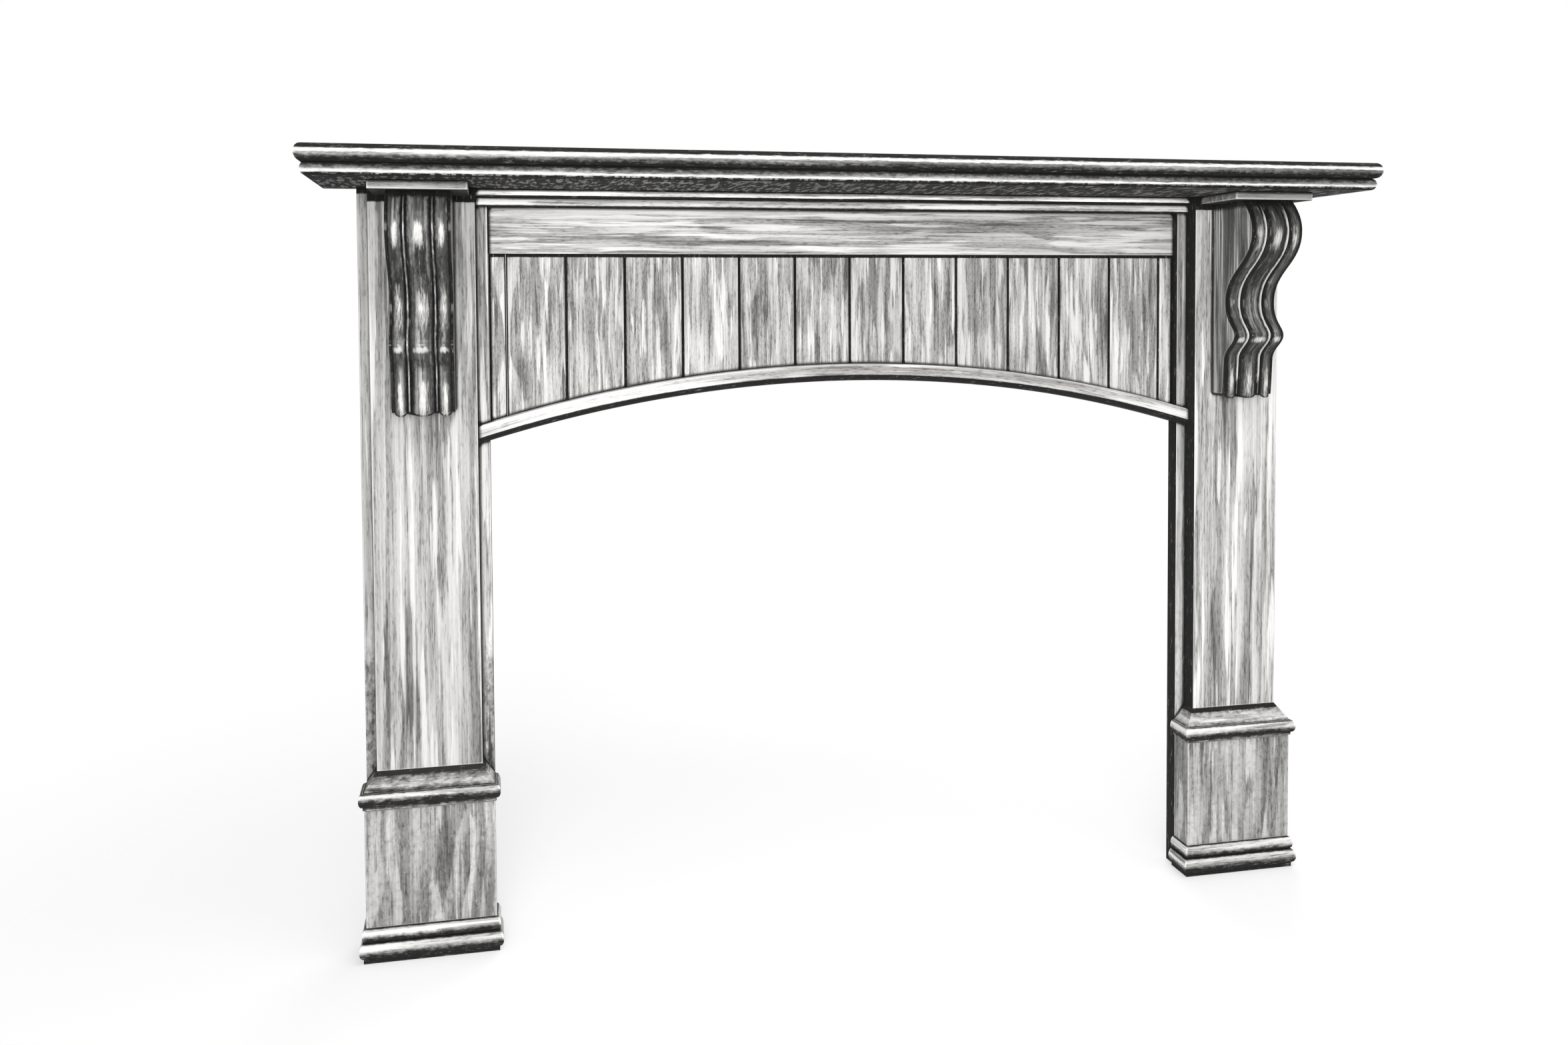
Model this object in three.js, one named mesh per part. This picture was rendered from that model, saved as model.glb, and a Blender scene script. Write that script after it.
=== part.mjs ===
// Timber fireplace mantelpiece: a shelf on two pilasters with carved brackets,
// and between them a boarded frieze over a low arch.
// Millimetres. +Z is up, +X is to the right, +Y goes into the wall.
// Every depth below is measured from the wall towards the room.

import * as THREE from 'three';

// Overall size
const TOTAL_HEIGHT = 1220;
const SHELF_LENGTH = 1684;
const SHELF_DEPTH = 230;
const OPENING_WIDTH = 1170;

// Shelf: a top board over a thinner bed board, both with a rounded nose
const TOP_THICKNESS = 25;
const TOP_NOSE = 9;
const BED_THICKNESS = 19;
const BED_NOSE = 7;
const BED_SETBACK = 7;

// Legs: a stile against the wall, a pilaster planted on it, a plinth below
const STILE_WIDTH = 194;
const STILE_THICKNESS = 28;
const PILASTER_THICKNESS = 30;
const PLINTH_PROUD = 18;
const PLINTH_HEIGHT = 182;
const EASED_EDGE = 1.5;

// Base moulding: a foot fillet, a large bead and a smaller bead above it
const FOOT_HEIGHT = 7;
const FOOT_PROUD = 4;
const LARGE_BEAD = 24;
const LARGE_BEAD_PROUD = 10;
const SMALL_BEAD = 21;
const SMALL_BEAD_PROUD = 6;
const QUIRK_PROUD = 3;

// Cap moulding: a fillet, a bead and a bevel that rises to the pilaster
const CAP_FILLET = 5;
const CAP_FILLET_PROUD = 2;
const CAP_BEAD = 21;
const CAP_BEAD_PROUD = 8;
const CAP_QUIRK = 1;
const CAP_BEVEL = 26;
const BEAD_STEPS = 8;

// Frieze: two planted strips, a cross-grained board and upright planks below it
const STRIP_HEIGHT = 13;
const UPPER_STRIP_DEPTH = 40;
const LOWER_STRIP_DEPTH = 35;
const FRIEZE_THICKNESS = 17;
const FRIEZE_HEIGHT = 100;
const PLANK_THICKNESS = 13;
const FULL_PLANKS = 12;
const PLANK_PITCH = 93;
const PLANK_CHAMFER = 3;
const PLANK_GAP = 0.5;

// Arch rib
const ARCH_RADIUS = 2125;
const ARCH_CROWN = 896;
const RIB_HEIGHT = 27;
const RIB_DEPTH = 40;
const RIB_ROUND = 8;
const RIB_ROUND_STEPS = 4;
const RIB_STEPS = 30;
const RIB_GAP = 0.3;

// Brackets: three reeds that follow an S-shaped front, under a flat plate
const BRACKET_HEIGHT = 332;
const BRACKET_WIDTH = 92;
const BRACKET_STEPS = 7;

// The bracket's front, downwards: how far out from the pilaster, how far up
const LIP = { out: 98, up: BRACKET_HEIGHT };
const BULGE = { out: 127, up: 281 };
const WAIST = { out: 47, up: 163 };
const NOSE = { out: 76, up: 108 };
const SHIN = { out: 44, up: 66 };
const TOE = { out: 39, up: 0 };

// Each bend stays upright for these shares of its drop, leaving and arriving
const S_BEND = [0.47, 0.47];
const NOSE_BEND = [0.6, 0.25];
const SHIN_BEND = [0.35, 0.45];

// The plate over a bracket
const PLATE_WIDTH = 140;
const PLATE_PROJECTION = 114;
const PLATE_THICKNESS = 14;

// Across a bracket: an edge fillet, a reed, a groove fillet and the middle reed
const EDGE_FILLET = 3.5;
const REED_FILLET = 5;
const FILLET_SLOPE = 1.5;
const MIDDLE_REED = 35;
const REED_RISE = 8;
const GROOVE_FILLET_RISE = 3.5;
const EDGE_FILLET_RISE = 2.5;
const SCALLOP = 9;
const REED_STEPS = 6;
const MIDDLE_REED_STEPS = 8;

// Worked out from the sizes above
const SOFFIT = TOTAL_HEIGHT - TOP_THICKNESS - BED_THICKNESS;
const BASE_HEIGHT = FOOT_HEIGHT + LARGE_BEAD + SMALL_BEAD;
const PLINTH_TOP = BASE_HEIGHT + PLINTH_HEIGHT;
const CAP_TOP = PLINTH_TOP + CAP_FILLET + CAP_BEAD + CAP_BEVEL;
const LEG_CENTRE = (OPENING_WIDTH + STILE_WIDTH) / 2;
const PILASTER_WIDTH = STILE_WIDTH - 2 * PLINTH_PROUD;
const PILASTER_DEPTH = STILE_THICKNESS + PILASTER_THICKNESS;
const PLINTH_DEPTH = PILASTER_DEPTH + PLINTH_PROUD;
const OPENING_HALF = OPENING_WIDTH / 2;
const BAY_HALF = LEG_CENTRE - PILASTER_WIDTH / 2;
const FRIEZE_BOTTOM = SOFFIT - FRIEZE_HEIGHT;
const BRACKET_TOP = SOFFIT - PLATE_THICKNESS;

// Paint of each kind of piece
const FACE_TIMBER = { color: 0xb4afa6, roughness: 0.55, metalness: 0 };
const CROSS_TIMBER = { color: 0xa9a49b, roughness: 0.5, metalness: 0 };
const CARVED_TIMBER = { color: 0x6f6a63, roughness: 0.3, metalness: 0 };

const mantelpiece = new THREE.Group();
mantelpiece.position.y = SHELF_DEPTH / 2;

function addPiece(name, geometry, finish, x = 0) {
  const piece = new THREE.Mesh(geometry, new THREE.MeshStandardMaterial(finish));
  piece.name = name;
  piece.position.x = x;
  mantelpiece.add(piece);
}

// Two triangles between each pair of neighbouring points of two rings
function sideFaces(ringCount, size) {
  const faces = [];
  for (let ring = 0; ring + 1 < ringCount; ring += 1) {
    for (let i = 0; i < size; i += 1) {
      const next = (i + 1) % size;
      const a = ring * size + i;
      const b = ring * size + next;
      faces.push(a, b, b + size, a, b + size, a + size);
    }
  }
  return faces;
}

// A closed solid through rings of points. `flat` gives a point's two
// coordinates in the plane of a ring, so that both ends can be closed.
function loft(rings, flat) {
  const size = rings[0].length;
  const faces = sideFaces(rings.length, size);
  const last = (rings.length - 1) * size;
  const ends = [[rings[0], 0, true], [rings[rings.length - 1], last, false]];
  for (const [ring, start, reverse] of ends) {
    for (const [a, b, c] of THREE.ShapeUtils.triangulateShape(ring.map(flat), [])) {
      faces.push(start + a, start + (reverse ? c : b), start + (reverse ? b : c));
    }
  }
  const geometry = new THREE.BufferGeometry();
  geometry.setAttribute('position', new THREE.Float32BufferAttribute(
    rings.flat().flatMap((p) => [p.x, p.y, p.z]), 3));
  geometry.setIndex(faces);
  geometry.computeVertexNormals();
  return geometry;
}

const seenFromAbove = (p) => new THREE.Vector2(p.x, p.y);
const seenFromTheSide = (p) => new THREE.Vector2(p.y, p.z);

// A block whose front and two sides carry one moulding, mitred at the corners.
// Each step of the moulding is [how far it stands proud, height].
function mouldedBlock(width, back, front, steps) {
  const rings = steps.map(([proud, z]) => {
    const x = width / 2 + proud;
    const y = -(front + proud);
    return [
      new THREE.Vector3(-x, y, z),
      new THREE.Vector3(x, y, z),
      new THREE.Vector3(x, -back, z),
      new THREE.Vector3(-x, -back, z),
    ];
  });
  return loft(rings, seenFromAbove);
}

// Half an ellipse from `z` up to `z + height`, bulging from `inner` to `outer`
function beadSteps(z, height, inner, outer) {
  const steps = [];
  for (let i = 0; i <= BEAD_STEPS; i += 1) {
    const turn = Math.PI * (i / BEAD_STEPS);
    const proud = inner + (outer - inner) * Math.sin(turn);
    steps.push([proud, z + (height / 2) * (1 - Math.cos(turn))]);
  }
  return steps;
}

// An upright board with its two front edges eased
function uprightBoard(width, back, front, bottom, top, ease = EASED_EDGE) {
  const outline = (z) => [
    new THREE.Vector3(-width / 2 + ease, -front, z),
    new THREE.Vector3(width / 2 - ease, -front, z),
    new THREE.Vector3(width / 2, -front + ease, z),
    new THREE.Vector3(width / 2, -back, z),
    new THREE.Vector3(-width / 2, -back, z),
    new THREE.Vector3(-width / 2, -front + ease, z),
  ];
  return loft([outline(bottom), outline(top)], seenFromAbove);
}

// A level board with its two long front edges eased
function levelBoard(length, back, front, bottom, top, ease = EASED_EDGE) {
  const outline = (x) => [
    new THREE.Vector3(x, -back, bottom),
    new THREE.Vector3(x, -back, top),
    new THREE.Vector3(x, -front + ease, top),
    new THREE.Vector3(x, -front, top - ease),
    new THREE.Vector3(x, -front, bottom + ease),
    new THREE.Vector3(x, -front + ease, bottom),
  ];
  return loft([outline(-length / 2), outline(length / 2)], seenFromTheSide);
}

function makeShelf() {
  const top = beadSteps(SOFFIT + BED_THICKNESS, TOP_THICKNESS, -TOP_NOSE, 0);
  addPiece('shelf_top_board', mouldedBlock(SHELF_LENGTH, 0, SHELF_DEPTH, top), CROSS_TIMBER);
  const bed = beadSteps(SOFFIT, BED_THICKNESS, -BED_NOSE, 0);
  const length = SHELF_LENGTH - 2 * BED_SETBACK;
  const depth = SHELF_DEPTH - BED_SETBACK;
  addPiece('shelf_bed_board', mouldedBlock(length, 0, depth, bed), CROSS_TIMBER);
}

function baseMoulding() {
  return mouldedBlock(STILE_WIDTH, STILE_THICKNESS, PLINTH_DEPTH, [
    [FOOT_PROUD, 0],
    [FOOT_PROUD, FOOT_HEIGHT],
    ...beadSteps(FOOT_HEIGHT, LARGE_BEAD, QUIRK_PROUD, LARGE_BEAD_PROUD).slice(1),
    ...beadSteps(FOOT_HEIGHT + LARGE_BEAD, SMALL_BEAD, 0, SMALL_BEAD_PROUD).slice(1),
  ]);
}

function capMoulding() {
  const beadBottom = PLINTH_TOP + CAP_FILLET;
  const bevelBottom = beadBottom + CAP_BEAD;
  return mouldedBlock(STILE_WIDTH, STILE_THICKNESS, PLINTH_DEPTH, [
    [CAP_FILLET_PROUD, PLINTH_TOP],
    [CAP_FILLET_PROUD, beadBottom],
    ...beadSteps(beadBottom, CAP_BEAD, CAP_FILLET_PROUD, CAP_BEAD_PROUD).slice(1),
    [0, bevelBottom + CAP_QUIRK],
    [-PLINTH_PROUD, bevelBottom + CAP_BEVEL],
  ]);
}

// Goes on down from one upright point of a bracket's front to the next
function bend(front, from, to, [leaving, arriving]) {
  const drop = from.up - to.up;
  front.bezierCurveTo(
    from.out, from.up - leaving * drop, to.out, to.up + arriving * drop, to.out, to.up);
}

// The S-shaped front of a bracket, from its lip down to its toe. It is upright
// at the bulge, the waist, the rounded nose and the shin.
function bracketFront() {
  const front = new THREE.Path();
  front.moveTo(LIP.out, LIP.up);
  front.quadraticCurveTo(BULGE.out, (LIP.up + BULGE.up) / 2, BULGE.out, BULGE.up);
  bend(front, BULGE, WAIST, S_BEND);
  bend(front, WAIST, NOSE, NOSE_BEND);
  bend(front, NOSE, SHIN, SHIN_BEND);
  front.lineTo(TOE.out, TOE.up);
  return front.getPoints(BRACKET_STEPS);
}

// Half of a reed's section: points [x, rise] from its left edge to its right
function reed(left, width, count) {
  const points = [];
  for (let i = 0; i <= count; i += 1) {
    const turn = Math.PI * (i / count);
    points.push([left + (width / 2) * (1 - Math.cos(turn)), REED_RISE * Math.sin(turn)]);
  }
  return points;
}

// The reeded section from left to right: [x, rise above the bottom of a groove]
function reededSection() {
  const side = BRACKET_WIDTH / 2;
  const outerReed = side - EDGE_FILLET - REED_FILLET - MIDDLE_REED / 2;
  const outerLeft = -side + EDGE_FILLET;
  const filletLeft = outerLeft + outerReed;
  const leftHalf = [
    [-side, EDGE_FILLET_RISE],
    [outerLeft, EDGE_FILLET_RISE],
    ...reed(outerLeft, outerReed, REED_STEPS),
    [filletLeft + FILLET_SLOPE, GROOVE_FILLET_RISE],
    [filletLeft + REED_FILLET - FILLET_SLOPE, GROOVE_FILLET_RISE],
  ];
  const rightHalf = leftHalf.map(([x, rise]) => [-x, rise]).reverse();
  const middle = reed(-MIDDLE_REED / 2, MIDDLE_REED, MIDDLE_REED_STEPS);
  return [...leftHalf, ...middle, ...rightHalf];
}

// A reeded bracket. At its foot each reed ends in a scallop, so the grooves
// between the reeds stop a little higher.
function bracket() {
  const section = reededSection();
  const side = BRACKET_WIDTH / 2;
  const bottom = BRACKET_TOP - BRACKET_HEIGHT;
  const rings = bracketFront().reverse().map((point) => {
    const scallop = point.y > TOE.up ? 0 : SCALLOP;
    const front = section.map(([x, rise]) => new THREE.Vector3(
      x,
      -(PILASTER_DEPTH + point.x - REED_RISE + rise),
      bottom + point.y + scallop * (1 - rise / REED_RISE)));
    const backZ = front[0].z;
    return [
      ...front,
      new THREE.Vector3(side, -PILASTER_DEPTH, backZ),
      new THREE.Vector3(-side, -PILASTER_DEPTH, backZ),
    ];
  });
  return loft(rings, seenFromAbove);
}

function makeLeg(side, x) {
  addPiece(`${side}_stile`, uprightBoard(STILE_WIDTH, 0, STILE_THICKNESS, 0, SOFFIT),
    FACE_TIMBER, x);
  addPiece(`${side}_base_moulding`, baseMoulding(), CROSS_TIMBER, x);
  addPiece(`${side}_plinth`,
    uprightBoard(STILE_WIDTH, STILE_THICKNESS, PLINTH_DEPTH, BASE_HEIGHT, PLINTH_TOP),
    FACE_TIMBER, x);
  addPiece(`${side}_cap_moulding`, capMoulding(), CROSS_TIMBER, x);
  addPiece(`${side}_pilaster`,
    uprightBoard(PILASTER_WIDTH, STILE_THICKNESS, PILASTER_DEPTH, CAP_TOP, SOFFIT),
    FACE_TIMBER, x);
  addPiece(`${side}_bracket`, bracket(), CARVED_TIMBER, x);
  const plateDepth = PILASTER_DEPTH + PLATE_PROJECTION;
  addPiece(`${side}_bracket_plate`,
    uprightBoard(PLATE_WIDTH, PILASTER_DEPTH, plateDepth, BRACKET_TOP, SOFFIT),
    CROSS_TIMBER, x);
}

// A strip planted over both stiles, thicker between them to reach the frieze
function plantedStrip(front, bottom) {
  const outline = new THREE.Shape();
  outline.moveTo(-BAY_HALF, -front);
  outline.lineTo(BAY_HALF, -front);
  outline.lineTo(BAY_HALF, -STILE_THICKNESS);
  outline.lineTo(OPENING_HALF, -STILE_THICKNESS);
  outline.lineTo(OPENING_HALF, -FRIEZE_THICKNESS);
  outline.lineTo(-OPENING_HALF, -FRIEZE_THICKNESS);
  outline.lineTo(-OPENING_HALF, -STILE_THICKNESS);
  outline.lineTo(-BAY_HALF, -STILE_THICKNESS);
  outline.closePath();
  const strip = new THREE.ExtrudeGeometry(outline, { depth: STRIP_HEIGHT, bevelEnabled: false });
  strip.translate(0, 0, bottom);
  return strip;
}

function makeFrieze() {
  addPiece('upper_strip', plantedStrip(UPPER_STRIP_DEPTH, SOFFIT - STRIP_HEIGHT), CROSS_TIMBER);
  addPiece('lower_strip', plantedStrip(LOWER_STRIP_DEPTH, SOFFIT - 2 * STRIP_HEIGHT),
    CROSS_TIMBER);
  addPiece('frieze_board',
    levelBoard(OPENING_WIDTH, 0, FRIEZE_THICKNESS, FRIEZE_BOTTOM, SOFFIT), FACE_TIMBER);
}

// Height of the arch at x, `drop` below the rib's upper edge
function archHeight(x, drop = 0) {
  const radius = ARCH_RADIUS - drop;
  return ARCH_CROWN - ARCH_RADIUS + Math.sqrt(radius * radius - x * x);
}

// One upright slice of a plank, `depth` out from the wall
function plankSlice(x, depth) {
  const foot = archHeight(x, -RIB_GAP);
  return [
    new THREE.Vector3(x, 0, foot),
    new THREE.Vector3(x, 0, FRIEZE_BOTTOM),
    new THREE.Vector3(x, -depth, FRIEZE_BOTTOM),
    new THREE.Vector3(x, -depth, foot),
  ];
}

// A plank between two joints, its lower end shaped to the arch rib and its
// long front edges chamfered, so that a V shows at each joint
function plank(leftJoint, rightJoint) {
  const left = leftJoint + PLANK_GAP / 2;
  const right = rightJoint - PLANK_GAP / 2;
  return loft([
    plankSlice(left, PLANK_THICKNESS - PLANK_CHAMFER),
    plankSlice(left + PLANK_CHAMFER, PLANK_THICKNESS),
    plankSlice((left + right) / 2, PLANK_THICKNESS),
    plankSlice(right - PLANK_CHAMFER, PLANK_THICKNESS),
    plankSlice(right, PLANK_THICKNESS - PLANK_CHAMFER),
  ], seenFromTheSide);
}

function makePlanks() {
  const firstJoint = (-FULL_PLANKS * PLANK_PITCH) / 2;
  const joints = [-OPENING_HALF];
  for (let i = 0; i <= FULL_PLANKS; i += 1) joints.push(firstJoint + i * PLANK_PITCH);
  joints.push(OPENING_HALF);
  for (let i = 0; i + 1 < joints.length; i += 1) {
    const number = String(i + 1).padStart(2, '0');
    addPiece(`plank_${number}`, plank(joints[i], joints[i + 1]), FACE_TIMBER);
  }
}

// One upright slice of the arch rib, its lower front edge rounded
function ribSlice(x, back) {
  const top = archHeight(x);
  const bottom = archHeight(x, RIB_HEIGHT);
  const slice = [
    new THREE.Vector3(x, -back, bottom),
    new THREE.Vector3(x, -back, top),
    new THREE.Vector3(x, -RIB_DEPTH + EASED_EDGE, top),
    new THREE.Vector3(x, -RIB_DEPTH, top - EASED_EDGE),
  ];
  for (let i = 0; i <= RIB_ROUND_STEPS; i += 1) {
    const turn = (Math.PI / 2) * (i / RIB_ROUND_STEPS);
    slice.push(new THREE.Vector3(
      x,
      -RIB_DEPTH + RIB_ROUND * (1 - Math.cos(turn)),
      bottom + RIB_ROUND * (1 - Math.sin(turn))));
  }
  return slice;
}

// The rib runs back to the wall between the stiles and laps over their faces
function archRib() {
  const rings = [ribSlice(-BAY_HALF, STILE_THICKNESS), ribSlice(-OPENING_HALF, STILE_THICKNESS)];
  for (let i = 0; i <= RIB_STEPS; i += 1) {
    rings.push(ribSlice(OPENING_HALF * ((2 * i) / RIB_STEPS - 1), 0));
  }
  rings.push(ribSlice(OPENING_HALF, STILE_THICKNESS), ribSlice(BAY_HALF, STILE_THICKNESS));
  return loft(rings, seenFromTheSide);
}

makeShelf();
makeLeg('left', -LEG_CENTRE);
makeLeg('right', LEG_CENTRE);
makeFrieze();
makePlanks();
addPiece('arch_rib', archRib(), CROSS_TIMBER);

export default mantelpiece;
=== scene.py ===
# Timber fireplace mantelpiece: limed oak boards and mouldings, a waxed shelf and two
# dark polished brackets. The scene is in metres, with +Z up, +X to the right and +Y
# into the wall. Sizes are named in millimetres, and MM turns them into metres.

import math
import random

import bmesh
import bpy
from mathutils import Matrix, Vector


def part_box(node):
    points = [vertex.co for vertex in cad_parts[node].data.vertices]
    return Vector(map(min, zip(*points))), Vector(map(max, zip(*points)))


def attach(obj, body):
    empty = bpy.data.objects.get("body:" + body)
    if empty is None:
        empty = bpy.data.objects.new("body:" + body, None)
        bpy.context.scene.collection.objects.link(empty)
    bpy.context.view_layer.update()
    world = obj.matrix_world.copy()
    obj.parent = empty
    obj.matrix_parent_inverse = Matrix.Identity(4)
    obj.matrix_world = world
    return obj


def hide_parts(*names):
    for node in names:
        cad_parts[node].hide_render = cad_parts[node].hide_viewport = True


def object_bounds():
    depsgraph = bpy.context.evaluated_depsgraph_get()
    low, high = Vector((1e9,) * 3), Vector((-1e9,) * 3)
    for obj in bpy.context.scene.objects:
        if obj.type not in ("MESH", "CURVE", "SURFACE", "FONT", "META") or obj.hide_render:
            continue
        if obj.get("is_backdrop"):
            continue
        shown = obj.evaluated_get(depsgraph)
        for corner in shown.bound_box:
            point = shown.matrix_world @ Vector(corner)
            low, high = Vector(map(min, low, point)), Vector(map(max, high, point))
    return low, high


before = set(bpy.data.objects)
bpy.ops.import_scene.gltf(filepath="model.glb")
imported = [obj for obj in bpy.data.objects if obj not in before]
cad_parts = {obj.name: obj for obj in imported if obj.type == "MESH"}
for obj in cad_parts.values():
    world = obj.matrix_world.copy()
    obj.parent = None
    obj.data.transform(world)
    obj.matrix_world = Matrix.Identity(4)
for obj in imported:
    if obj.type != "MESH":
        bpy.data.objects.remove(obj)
cad_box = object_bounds()

MM = 0.001
PLANK_COUNT = 14
SIDES = ("left", "right")

# Points that are closer than this are one point
TINY = 0.01 * MM

# The drawing's frame in pixels, and where it was drawn from, in metres and degrees
PICTURE_WIDTH = 2352
FOCAL_PIXELS = 2001
SHIFT_PIXELS = -250
SENSOR_WIDTH = 36
CAMERA_PLACE = Vector((-0.580, -2.038, 0.994))
CAMERA_YAW = 12.33
CAMERA_PITCH = -2.19
CAMERA_ROLL = -0.33

# Sawn boards: how far their arrises are rounded over, and the sharpest turn that looks smooth
ARRIS = 1.5
ARRIS_STEPS = 3
SMOOTH_BELOW = math.radians(24)

# The share of a normal that lies along an axis, at least, on a face that is square to it,
# on a bracket's side, on the side of a V and on any face that is turned that way
FLAT_FACE = 0.99
SIDE_FACE = 0.95
V_FACE = 0.6
TURNED_FACE = 0.3

# Shelf noses
TOP_NOSE = 9
BED_NOSE = 7

# Base moulding, from the floor: foot fillet, large bead, small bead
FOOT_HEIGHT = 7
FOOT_PROUD = 4
LARGE_BEAD = 24
LARGE_BEAD_PROUD = 10
SMALL_BEAD = 21
SMALL_BEAD_PROUD = 6
QUIRK_PROUD = 3

# Cap moulding, from the plinth: fillet, bead, quirk and bevel, which is cut at some heights
CAP_FILLET = 5
CAP_FILLET_PROUD = 2
CAP_BEAD = 21
CAP_BEAD_PROUD = 8
CAP_QUIRK = 1
CAP_BEVEL = 26
BEVEL_CUTS = (CAP_QUIRK, 7, 13, 19.5, 21, CAP_BEVEL)
PLINTH_PROUD = 18
BEAD_STEPS = 24

# Planks: the V at a joint and its softened lip, and the eased edges of the back
PLANK_CHAMFER = 3.0
PLANK_SOFTENING = 1.0
PLANK_LIP = 0.35
PLANK_BACK_ARRIS = 0.9
PLANK_SLICES = 6

# The arch rib, and its gap to the planks, which end on its curve
ARCH_RADIUS = 2125
RIB_HEIGHT = 27
RIB_EASE = 0.45
RIB_ROUND = 8
RIB_ROUND_STEPS = 10
RIB_SLICES = 90
RIB_GAP = 0.3

# Bracket: its front from the lip down to the toe, as (out, up) in millimetres
LIP = Vector((98, 332))
BULGE = Vector((127, 281))
WAIST = Vector((47, 163))
NOSE = Vector((76, 108))
SHIN = Vector((44, 66))
TOE = Vector((39, 0))

# Each bend stays upright for these shares of its drop, leaving and arriving
S_BEND = (0.47, 0.47)
NOSE_BEND = (0.6, 0.25)
SHIN_BEND = (0.35, 0.45)
CURVE_STEPS = 36

# Across a bracket: edge fillet, outer reed, groove fillet and middle reed
EDGE_FILLET = 3.5
REED_FILLET = 5
FILLET_SLOPE = 1.5
MIDDLE_REED = 35
REED_RISE = 8
GROOVE_FILLET_RISE = 3.5
EDGE_FILLET_RISE = 2.5
REED_STEPS = 14

# The scallop of a bracket's foot: how far it lifts the floor of a groove, and how high
# up the bracket it fades out
SCALLOP = 9
SCALLOP_REACH = 26

# Painted shade, darker on the lower parts of beads, noses and edges and under other pieces, as
# (height, shade) stops. Heights are millimetres up from the bottom of the piece, and shade goes
# from 0 to 1.
TOP_BOARD_SHADE = [(0, 1.0), (4, 0.8), (8, 0.6), (11, 0.3), (13, 0.0), (17, 0.0), (19, 1.0)]
BED_BOARD_SHADE = [(0, 1.0), (2, 0.8), (4, 0.0), (8, 0.0), (10, 0.5), (19, 0.9)]
BASE_SHADE = {
    "left": [(0, 1.0), (6, 0.8), (8, 1.0), (15, 0.8), (21, 0.45), (25, 0.0), (28, 0.0),
             (31, 1.0), (38, 0.8), (43, 0.4), (47, 0.0), (50, 0.0), (52, 0.9)],
    "right": [(0, 1.0), (6, 0.8), (8, 1.0), (14, 0.85), (19, 0.5), (23, 0.0), (28, 0.0),
              (31, 1.0), (37, 0.8), (42, 0.35), (46, 0.0), (50, 0.0), (52, 0.9)],
}
CAP_SHADE = {
    "left": [(0, 0.6), (4, 0.6), (6, 1.0), (12, 0.9), (18, 0.6), (21, 0.25), (23, 0.0),
             (26, 1.0), (28, 0.4), (39, 0.5), (45.5, 0.68), (47, 1.0), (52, 1.0)],
    "right": [(0, 0.6), (4, 0.6), (6, 1.0), (10, 0.9), (15, 0.55), (19, 0.2), (23, 0.0),
              (26, 1.0), (28, 0.2), (39, 0.4), (45.5, 0.62), (47, 1.0), (52, 1.0)],
}
UPPER_STRIP_SHADE = [(3.0, 1.0), (3.8, 0.0)]
LOWER_STRIP_SHADE = [(1.6, 0.6), (2.2, 0.0)]
RIB_SHADE = [(8, 1.0), (9, 0.9), (10.5, 0.0)]
BRACKET_SHADE = [(2, 1.0), (4, 0.0), (316, 0.0), (325, 0.9)]

# The same painted shade, with heights from a plank's top and from under the piece over a board,
# and how much darker a stile's front is, with heights from the top of the plinth's cap
PLANK_TOP_SHADE = [(-5.5, 0.0), (-4, 1.0)]
UNDER_PLATE_SHADE = [(-11, 0.0), (-8, 0.9)]
OVER_CAP_DARKENING = [(0, 1.0), (150, 0.93), (225, 0.0)]

# How dark whole places are, from 0 to 1: a stile's foot over the cap, painted shade on the
# groove fillets and on faces turned to the fire, and real dirt on the plinths
STILE_FOOT_DARKENING = {"left": 0.56, "right": 0.28}
FILLET_SHADE = 0.45
PLINTH_DIRT = 0.24
SIDE_SHADE = 0.97

# How far painted shade climbs the reeds from between them: the higher, the further
GROOVE_SHADE_REACH = {"left": 2, "right": 4}

# Painted highlights, where gloss would catch the light: (height, reach, strength, sharpness).
# The higher the sharpness, the more a place keeps to the crests of the reeds.
BRACKET_HIGHLIGHTS = {
    "left": [(26, 48, 0.8, 12), (101, 8, 0.95, 3), (160, 64, 0.55, 6), (268, 30, 0.85, 10)],
    "right": [(26, 48, 0.7, 12), (101, 8, 0.85, 3), (160, 64, 0.2, 6), (268, 30, 0.75, 10)],
}
# Painted highlights along the shelf's noses.
TOP_BOARD_HIGHLIGHTS = [(15, 4, 0.8, 0)]
BED_BOARD_HIGHLIGHTS = [(6, 3, 0.8, 0)]

# The same painted highlight on a bracket's groove fillets, by side, and the share of it at each
# height
FILLET_HIGHLIGHT = {"left": 0.3, "right": 0.85}
FILLET_HIGHLIGHT_SHARE = [(22, 0.0), (40, 1.0), (300, 1.0), (325, 0.0)]

# How pale a piece is, where 1 is the plain finish. A stile goes from its tone at the
# opening, painted lighter where the pilaster's shade falls, to its tone at its outer edge, and
# the ranges are drawn from by chance.
PLINTH_TONE = {"left": 0.76, "right": 0.79}
STILE_TONES = {"left": (1.15, 0.72), "right": (0.82, 0.64)}
PILASTER_TONE = {"left": 0.9, "right": 1.2}
# The right leg's mouldings are painted paler, so that the highlights on their beads come out
# white: painted light.
MOULDING_TONE = {"left": 1.0, "right": 1.25}
# A bracket's flat sides are painted paler than its carved front, as painted light on them.
BRACKET_SIDE_PAINTED_LIGHT = 2.1
PLATE_TONE = 0.6
# The strips are painted much paler: painted light that makes up for the shade of the shelf over
# them.
UPPER_STRIP_PAINTED_LIGHT = 3.0
LOWER_STRIP_PAINTED_LIGHT = 1.7
FRIEZE_TONE = 1.15
RIB_TONE = 1.12
PLANK_TONE = (1.0, 1.16)
PIECE_TONE = (0.96, 1.04)

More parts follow.
